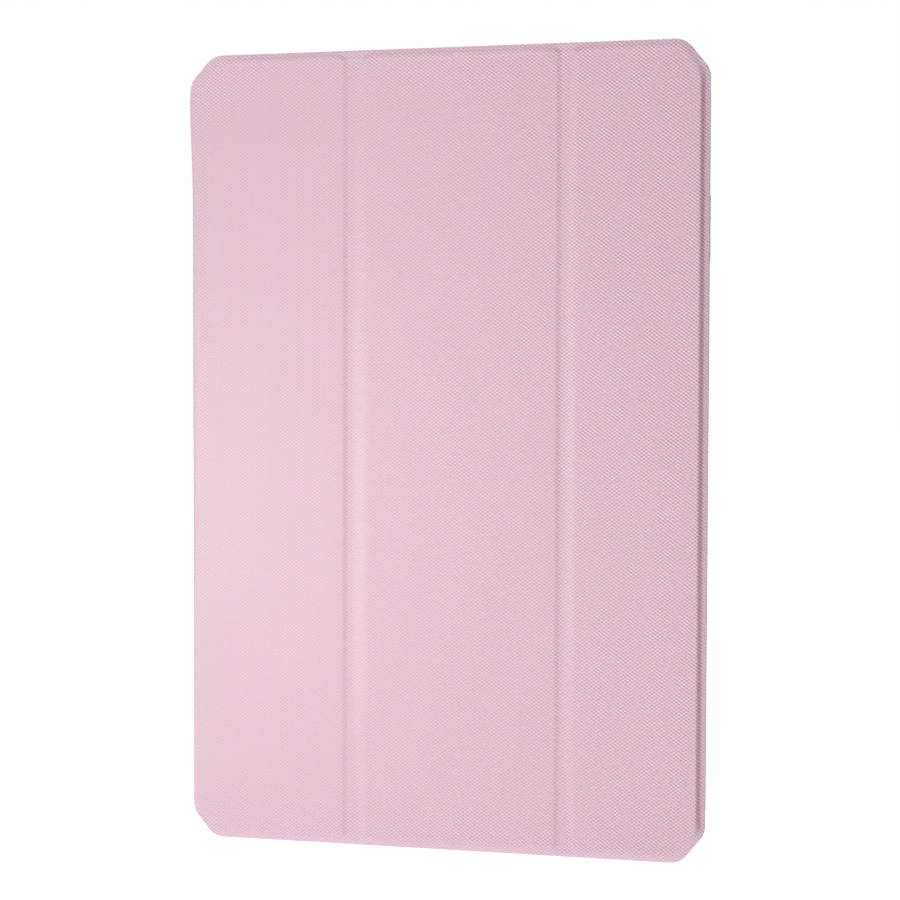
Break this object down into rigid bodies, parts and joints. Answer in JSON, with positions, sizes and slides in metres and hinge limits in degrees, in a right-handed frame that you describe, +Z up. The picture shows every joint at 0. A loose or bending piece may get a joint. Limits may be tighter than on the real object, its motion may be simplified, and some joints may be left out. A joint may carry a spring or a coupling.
{
  "type": "tablet folio case",
  "caption": "Slim folio case for a tablet: a soft tray with camera and port openings under a folding fabric cover of stiff panels.",
  "frame": {"origin": "middle of the closed case's footprint, on the surface that it stands on", "axes": "+Z up the long side, -Y out of the front cover, +Y out of the back, -X to the spine and +X to the cover's free edge"},
  "size_m": [0.174, 0.014, 0.264],
  "materials": {
    "skin": "fine diagonal weave embossed in a coated fabric, pale pink, satin",
    "lining": "brushed microfibre, dusty pink",
    "board": "pressed glass-fibre board",
    "tray": "soft matt moulded polyurethane, pink",
    "button": "satin moulded plastic, pink",
    "steel": "plain rolled strip",
    "magnet": "nickel plate"
  },
  "bodies": {
    "tray": {"tray_shell": "tray", "back_board": "board", "back_skin": "skin", "keeper_plates": "steel"},
    "power_key": {"power_button": "button"},
    "volume_key": {"volume_rocker": "button"},
    "spine": {"spine_skin": "skin", "spine_board": "board", "spine_lining": "lining"},
    "panel_1": {"panel_1_skin": "skin", "panel_1_board": "board", "panel_1_lining": "lining", "stand_plate": "steel"},
    "panel_2": {"panel_2_skin": "skin", "panel_2_board": "board", "panel_2_lining": "lining"},
    "panel_3": {"panel_3_skin": "skin", "panel_3_board": "board", "panel_3_lining": "lining", "closure_magnets": "magnet", "wake_magnet": "magnet"}
  },
  "joints": [
    {"name": "back_fold", "type": "hinge", "parent": "tray", "child": "spine", "pos_m": [-0.08705, 0.007, 0.132], "axis": [0, 0, -1], "range_deg": [0, 178]},
    {"name": "front_fold", "type": "hinge", "parent": "spine", "child": "panel_1", "pos_m": [-0.08705, -0.007, 0.132], "axis": [0, 0, -1], "range_deg": [0, 178]},
    {"name": "fold_1", "type": "hinge", "parent": "panel_1", "child": "panel_2", "pos_m": [-0.02986, -0.00715, 0.132], "axis": [0, 0, 1], "range_deg": [-170, 0]},
    {"name": "fold_2", "type": "hinge", "parent": "panel_2", "child": "panel_3", "pos_m": [0.04122, -0.00715, 0.132], "axis": [0, 0, -1], "range_deg": [0, 170]},
    {"name": "power_press", "type": "slide", "parent": "tray", "child": "power_key", "axis": [0, 0, -1], "range_m": [0, 0.0004], "stiffness_N_per_m": 1200},
    {"name": "volume_rock", "type": "hinge", "parent": "tray", "child": "volume_key", "pos_m": [0.08565, 0.0004, 0.204], "axis": [0, 1, 0], "range_deg": [-2, 2], "stiffness_Nm_per_rad": 0.12}
  ]
}
